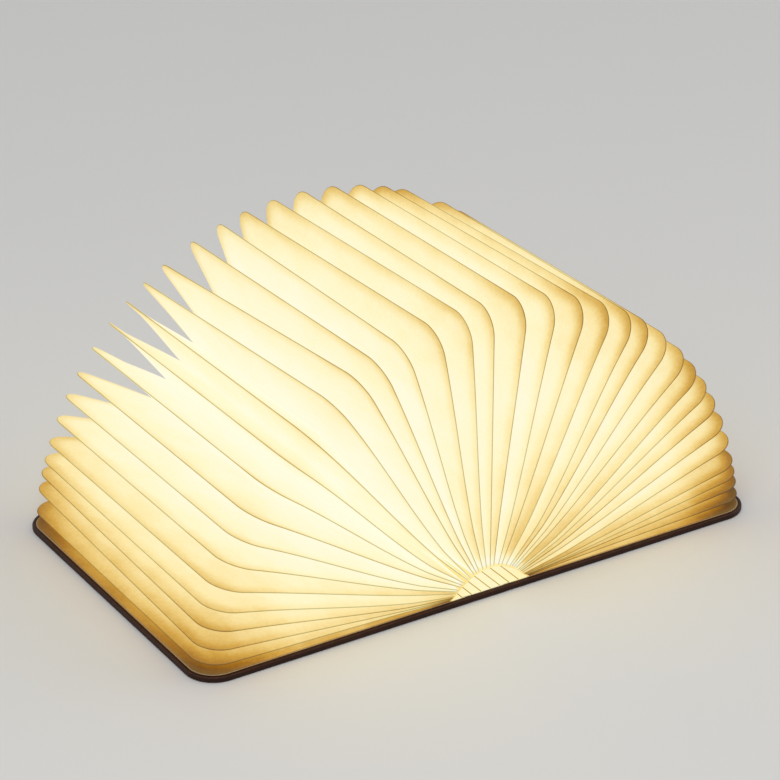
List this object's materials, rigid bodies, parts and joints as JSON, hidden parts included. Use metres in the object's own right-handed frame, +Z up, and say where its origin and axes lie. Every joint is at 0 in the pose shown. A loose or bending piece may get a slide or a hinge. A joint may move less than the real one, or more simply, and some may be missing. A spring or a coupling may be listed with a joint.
{
  "type": "folding book lamp",
  "caption": "Folding book lamp: two hinged covers with a fan of pleated paper leaves that glow around an LED bar on the spine, lying open flat.",
  "frame": {"origin": "centre of the underside of the open lamp, on the surface it lies on", "axes": "+X across the right cover at right angles to the spine, +Y along the spine towards the end with the charging inlet, +Z up through the middle leaf"},
  "size_m": [0.367, 0.215, 0.1721],
  "materials": {
    "cover_skin": "dark walnut-brown leatherette, satin, with a softly rounded edge",
    "cover_board": "grey-brown bookbinding board",
    "page_paper": "translucent fibrous paper lit from behind, warm white",
    "pleat_paper": "translucent fibrous paper lit from behind, warm white",
    "end_paper": "matt cream endpaper",
    "liner": "scored cream liner card",
    "tray": "satin anodised",
    "diffuser": "frosted opal plastic",
    "led_pcb": "white solder mask",
    "led": "yellow phosphor under clear resin",
    "cell": "blue heat-shrink film",
    "charge_pcb": "green solder mask",
    "port": "drawn nickel-plated shell",
    "chip": "moulded black package",
    "magnet": "nickel-plated",
    "screw": "zinc-plated"
  },
  "bodies": {
    "spine": {"spine_board": "cover_board", "spine_skin": "cover_skin", "right_hinge_strip": "cover_skin", "left_hinge_strip": "cover_skin", "floor_liner": "liner", "end_sleeves": "page_paper", "right_pleat_walls": "pleat_paper", "left_pleat_walls": "pleat_paper", "light_tray": "tray", "light_diffuser": "diffuser", "led_board": "led_pcb", "led_chips": "led", "battery_cells": "cell", "charge_board": "charge_pcb", "charge_port": "port", "hall_switch": "chip", "tray_screws": "screw", "leaf_18": "page_paper"},
    "right_cover": {"right_cover_skin": "cover_skin", "right_cover_board": "cover_board", "right_endpaper": "end_paper", "right_cover_magnets": "magnet"},
    "left_cover": {"left_cover_skin": "cover_skin", "left_cover_board": "cover_board", "left_endpaper": "end_paper", "left_cover_magnets": "magnet"},
    "leaf_01": {"leaf_01": "page_paper"},
    "leaf_02": {"leaf_02": "page_paper"},
    "leaf_03": {"leaf_03": "page_paper"},
    "leaf_04": {"leaf_04": "page_paper"},
    "leaf_05": {"leaf_05": "page_paper"},
    "leaf_06": {"leaf_06": "page_paper"},
    "leaf_07": {"leaf_07": "page_paper"},
    "leaf_08": {"leaf_08": "page_paper"},
    "leaf_09": {"leaf_09": "page_paper"},
    "leaf_10": {"leaf_10": "page_paper"},
    "leaf_11": {"leaf_11": "page_paper"},
    "leaf_12": {"leaf_12": "page_paper"},
    "leaf_13": {"leaf_13": "page_paper"},
    "leaf_14": {"leaf_14": "page_paper"},
    "leaf_15": {"leaf_15": "page_paper"},
    "leaf_16": {"leaf_16": "page_paper"},
    "leaf_17": {"leaf_17": "page_paper"},
    "leaf_19": {"leaf_19": "page_paper"},
    "leaf_20": {"leaf_20": "page_paper"},
    "leaf_21": {"leaf_21": "page_paper"},
    "leaf_22": {"leaf_22": "page_paper"},
    "leaf_23": {"leaf_23": "page_paper"},
    "leaf_24": {"leaf_24": "page_paper"},
    "leaf_25": {"leaf_25": "page_paper"},
    "leaf_26": {"leaf_26": "page_paper"},
    "leaf_27": {"leaf_27": "page_paper"},
    "leaf_28": {"leaf_28": "page_paper"},
    "leaf_29": {"leaf_29": "page_paper"},
    "leaf_30": {"leaf_30": "page_paper"},
    "leaf_31": {"leaf_31": "page_paper"},
    "leaf_32": {"leaf_32": "page_paper"},
    "leaf_33": {"leaf_33": "page_paper"},
    "leaf_34": {"leaf_34": "page_paper"},
    "leaf_35": {"leaf_35": "page_paper"}
  },
  "joints": [
    {"name": "right_cover_hinge", "type": "hinge", "parent": "spine", "child": "right_cover", "pos_m": [0.0125, 0, 0.0036], "axis": [0, -1, 0], "range_deg": [-92.8, 90], "deforming": ["right_hinge_strip", "right_pleat_walls", "floor_liner", "end_sleeves"]},
    {"name": "left_cover_hinge", "type": "hinge", "parent": "spine", "child": "left_cover", "pos_m": [-0.0125, 0, 0.0036], "axis": [0, 1, 0], "range_deg": [-92.8, 90], "deforming": ["left_hinge_strip", "left_pleat_walls", "floor_liner", "end_sleeves"]},
    {"name": "leaf_01_fold", "type": "hinge", "parent": "spine", "child": "leaf_01", "pos_m": [0.01181, 0, 0.0036], "axis": [0, -1, 0], "range_deg": [-90.93, 88.2]},
    {"name": "leaf_02_fold", "type": "hinge", "parent": "spine", "child": "leaf_02", "pos_m": [0.01111, 0, 0.0036], "axis": [0, -1, 0], "range_deg": [-87.94, 85.3]},
    {"name": "leaf_03_fold", "type": "hinge", "parent": "spine", "child": "leaf_03", "pos_m": [0.01042, 0, 0.0036], "axis": [0, -1, 0], "range_deg": [-85.46, 82.9]},
    {"name": "leaf_04_fold", "type": "hinge", "parent": "spine", "child": "leaf_04", "pos_m": [0.00972, 0, 0.0036], "axis": [0, -1, 0], "range_deg": [-82.58, 80.1]},
    {"name": "leaf_05_fold", "type": "hinge", "parent": "spine", "child": "leaf_05", "pos_m": [0.00903, 0, 0.0036], "axis": [0, -1, 0], "range_deg": [-77.63, 75.3]},
    {"name": "leaf_06_fold", "type": "hinge", "parent": "spine", "child": "leaf_06", "pos_m": [0.00833, 0, 0.0036], "axis": [0, -1, 0], "range_deg": [-72.68, 70.5]},
    {"name": "leaf_07_fold", "type": "hinge", "parent": "spine", "child": "leaf_07", "pos_m": [0.00764, 0, 0.0036], "axis": [0, -1, 0], "range_deg": [-67.32, 65.3]},
    {"name": "leaf_08_fold", "type": "hinge", "parent": "spine", "child": "leaf_08", "pos_m": [0.00694, 0, 0.0036], "axis": [0, -1, 0], "range_deg": [-62.47, 60.6]},
    {"name": "leaf_09_fold", "type": "hinge", "parent": "spine", "child": "leaf_09", "pos_m": [0.00625, 0, 0.0036], "axis": [0, -1, 0], "range_deg": [-57.52, 55.8]},
    {"name": "leaf_10_fold", "type": "hinge", "parent": "spine", "child": "leaf_10", "pos_m": [0.00556, 0, 0.0036], "axis": [0, -1, 0], "range_deg": [-52.37, 50.8]},
    {"name": "leaf_11_fold", "type": "hinge", "parent": "spine", "child": "leaf_11", "pos_m": [0.00486, 0, 0.0036], "axis": [0, -1, 0], "range_deg": [-45.97, 44.6]},
    {"name": "leaf_12_fold", "type": "hinge", "parent": "spine", "child": "leaf_12", "pos_m": [0.00417, 0, 0.0036], "axis": [0, -1, 0], "range_deg": [-39.99, 38.8]},
    {"name": "leaf_13_fold", "type": "hinge", "parent": "spine", "child": "leaf_13", "pos_m": [0.00347, 0, 0.0036], "axis": [0, -1, 0], "range_deg": [-34.94, 33.9]},
    {"name": "leaf_14_fold", "type": "hinge", "parent": "spine", "child": "leaf_14", "pos_m": [0.00278, 0, 0.0036], "axis": [0, -1, 0], "range_deg": [-26.48, 25.7]},
    {"name": "leaf_15_fold", "type": "hinge", "parent": "spine", "child": "leaf_15", "pos_m": [0.00208, 0, 0.0036], "axis": [0, -1, 0], "range_deg": [-20.71, 20.1]},
    {"name": "leaf_16_fold", "type": "hinge", "parent": "spine", "child": "leaf_16", "pos_m": [0.00139, 0, 0.0036], "axis": [0, -1, 0], "range_deg": [-14.42, 14]},
    {"name": "leaf_17_fold", "type": "hinge", "parent": "spine", "child": "leaf_17", "pos_m": [0.00069, 0, 0.0036], "axis": [0, -1, 0], "range_deg": [-7.72, 7.5]},
    {"name": "leaf_19_fold", "type": "hinge", "parent": "spine", "child": "leaf_19", "pos_m": [-0.00069, 0, 0.0036], "axis": [0, 1, 0], "range_deg": [-6.38, 6.2]},
    {"name": "leaf_20_fold", "type": "hinge", "parent": "spine", "child": "leaf_20", "pos_m": [-0.00139, 0, 0.0036], "axis": [0, 1, 0], "range_deg": [-12.87, 12.5]},
    {"name": "leaf_21_fold", "type": "hinge", "parent": "spine", "child": "leaf_21", "pos_m": [-0.00208, 0, 0.0036], "axis": [0, 1, 0], "range_deg": [-19.27, 18.7]},
    {"name": "leaf_22_fold", "type": "hinge", "parent": "spine", "child": "leaf_22", "pos_m": [-0.00278, 0, 0.0036], "axis": [0, 1, 0], "range_deg": [-25.25, 24.5]},
    {"name": "leaf_23_fold", "type": "hinge", "parent": "spine", "child": "leaf_23", "pos_m": [-0.00347, 0, 0.0036], "axis": [0, 1, 0], "range_deg": [-31.33, 30.4]},
    {"name": "leaf_24_fold", "type": "hinge", "parent": "spine", "child": "leaf_24", "pos_m": [-0.00417, 0, 0.0036], "axis": [0, 1, 0], "range_deg": [-37, 35.9]},
    {"name": "leaf_25_fold", "type": "hinge", "parent": "spine", "child": "leaf_25", "pos_m": [-0.00486, 0, 0.0036], "axis": [0, 1, 0], "range_deg": [-43.19, 41.9]},
    {"name": "leaf_26_fold", "type": "hinge", "parent": "spine", "child": "leaf_26", "pos_m": [-0.00556, 0, 0.0036], "axis": [0, 1, 0], "range_deg": [-48.76, 47.3]},
    {"name": "leaf_27_fold", "type": "hinge", "parent": "spine", "child": "leaf_27", "pos_m": [-0.00625, 0, 0.0036], "axis": [0, 1, 0], "range_deg": [-54.63, 53]},
    {"name": "leaf_28_fold", "type": "hinge", "parent": "spine", "child": "leaf_28", "pos_m": [-0.00694, 0, 0.0036], "axis": [0, 1, 0], "range_deg": [-60.51, 58.7]},
    {"name": "leaf_29_fold", "type": "hinge", "parent": "spine", "child": "leaf_29", "pos_m": [-0.00764, 0, 0.0036], "axis": [0, 1, 0], "range_deg": [-65.56, 63.6]},
    {"name": "leaf_30_fold", "type": "hinge", "parent": "spine", "child": "leaf_30", "pos_m": [-0.00833, 0, 0.0036], "axis": [0, 1, 0], "range_deg": [-70.51, 68.4]},
    {"name": "leaf_31_fold", "type": "hinge", "parent": "spine", "child": "leaf_31", "pos_m": [-0.00903, 0, 0.0036], "axis": [0, 1, 0], "range_deg": [-75.46, 73.2]},
    {"name": "leaf_32_fold", "type": "hinge", "parent": "spine", "child": "leaf_32", "pos_m": [-0.00972, 0, 0.0036], "axis": [0, 1, 0], "range_deg": [-79.59, 77.2]},
    {"name": "leaf_33_fold", "type": "hinge", "parent": "spine", "child": "leaf_33", "pos_m": [-0.01042, 0, 0.0036], "axis": [0, 1, 0], "range_deg": [-82.99, 80.5]},
    {"name": "leaf_34_fold", "type": "hinge", "parent": "spine", "child": "leaf_34", "pos_m": [-0.01111, 0, 0.0036], "axis": [0, 1, 0], "range_deg": [-86.7, 84.1]},
    {"name": "leaf_35_fold", "type": "hinge", "parent": "spine", "child": "leaf_35", "pos_m": [-0.01181, 0, 0.0036], "axis": [0, 1, 0], "range_deg": [-90.83, 88.1]}
  ],
  "couplings": [
    {"joint": "leaf_01_fold", "follows": "right_cover_hinge", "ratio": 0.97444},
    {"joint": "leaf_02_fold", "follows": "right_cover_hinge", "ratio": 0.94222},
    {"joint": "leaf_03_fold", "follows": "right_cover_hinge", "ratio": 0.91556},
    {"joint": "leaf_04_fold", "follows": "right_cover_hinge", "ratio": 0.88444},
    {"joint": "leaf_05_fold", "follows": "right_cover_hinge", "ratio": 0.83111},
    {"joint": "leaf_06_fold", "follows": "right_cover_hinge", "ratio": 0.77778},
    {"joint": "leaf_07_fold", "follows": "right_cover_hinge", "ratio": 0.72},
    {"joint": "leaf_08_fold", "follows": "right_cover_hinge", "ratio": 0.66778},
    {"joint": "leaf_09_fold", "follows": "right_cover_hinge", "ratio": 0.61444},
    {"joint": "leaf_10_fold", "follows": "right_cover_hinge", "ratio": 0.55889},
    {"joint": "leaf_11_fold", "follows": "right_cover_hinge", "ratio": 0.49},
    {"joint": "leaf_12_fold", "follows": "right_cover_hinge", "ratio": 0.42556},
    {"joint": "leaf_13_fold", "follows": "right_cover_hinge", "ratio": 0.37111},
    {"joint": "leaf_14_fold", "follows": "right_cover_hinge", "ratio": 0.28},
    {"joint": "leaf_15_fold", "follows": "right_cover_hinge", "ratio": 0.21778},
    {"joint": "leaf_16_fold", "follows": "right_cover_hinge", "ratio": 0.15},
    {"joint": "leaf_17_fold", "follows": "right_cover_hinge", "ratio": 0.077778},
    {"joint": "leaf_19_fold", "follows": "left_cover_hinge", "ratio": 0.063333},
    {"joint": "leaf_20_fold", "follows": "left_cover_hinge", "ratio": 0.13333},
    {"joint": "leaf_21_fold", "follows": "left_cover_hinge", "ratio": 0.20222},
    {"joint": "leaf_22_fold", "follows": "left_cover_hinge", "ratio": 0.26667},
    {"joint": "leaf_23_fold", "follows": "left_cover_hinge", "ratio": 0.33222},
    {"joint": "leaf_24_fold", "follows": "left_cover_hinge", "ratio": 0.39333},
    {"joint": "leaf_25_fold", "follows": "left_cover_hinge", "ratio": 0.46},
    {"joint": "leaf_26_fold", "follows": "left_cover_hinge", "ratio": 0.52},
    {"joint": "leaf_27_fold", "follows": "left_cover_hinge", "ratio": 0.58333},
    {"joint": "leaf_28_fold", "follows": "left_cover_hinge", "ratio": 0.64667},
    {"joint": "leaf_29_fold", "follows": "left_cover_hinge", "ratio": 0.70111},
    {"joint": "leaf_30_fold", "follows": "left_cover_hinge", "ratio": 0.75444},
    {"joint": "leaf_31_fold", "follows": "left_cover_hinge", "ratio": 0.80778},
    {"joint": "leaf_32_fold", "follows": "left_cover_hinge", "ratio": 0.85222},
    {"joint": "leaf_33_fold", "follows": "left_cover_hinge", "ratio": 0.88889},
    {"joint": "leaf_34_fold", "follows": "left_cover_hinge", "ratio": 0.92889},
    {"joint": "leaf_35_fold", "follows": "left_cover_hinge", "ratio": 0.97333}
  ]
}
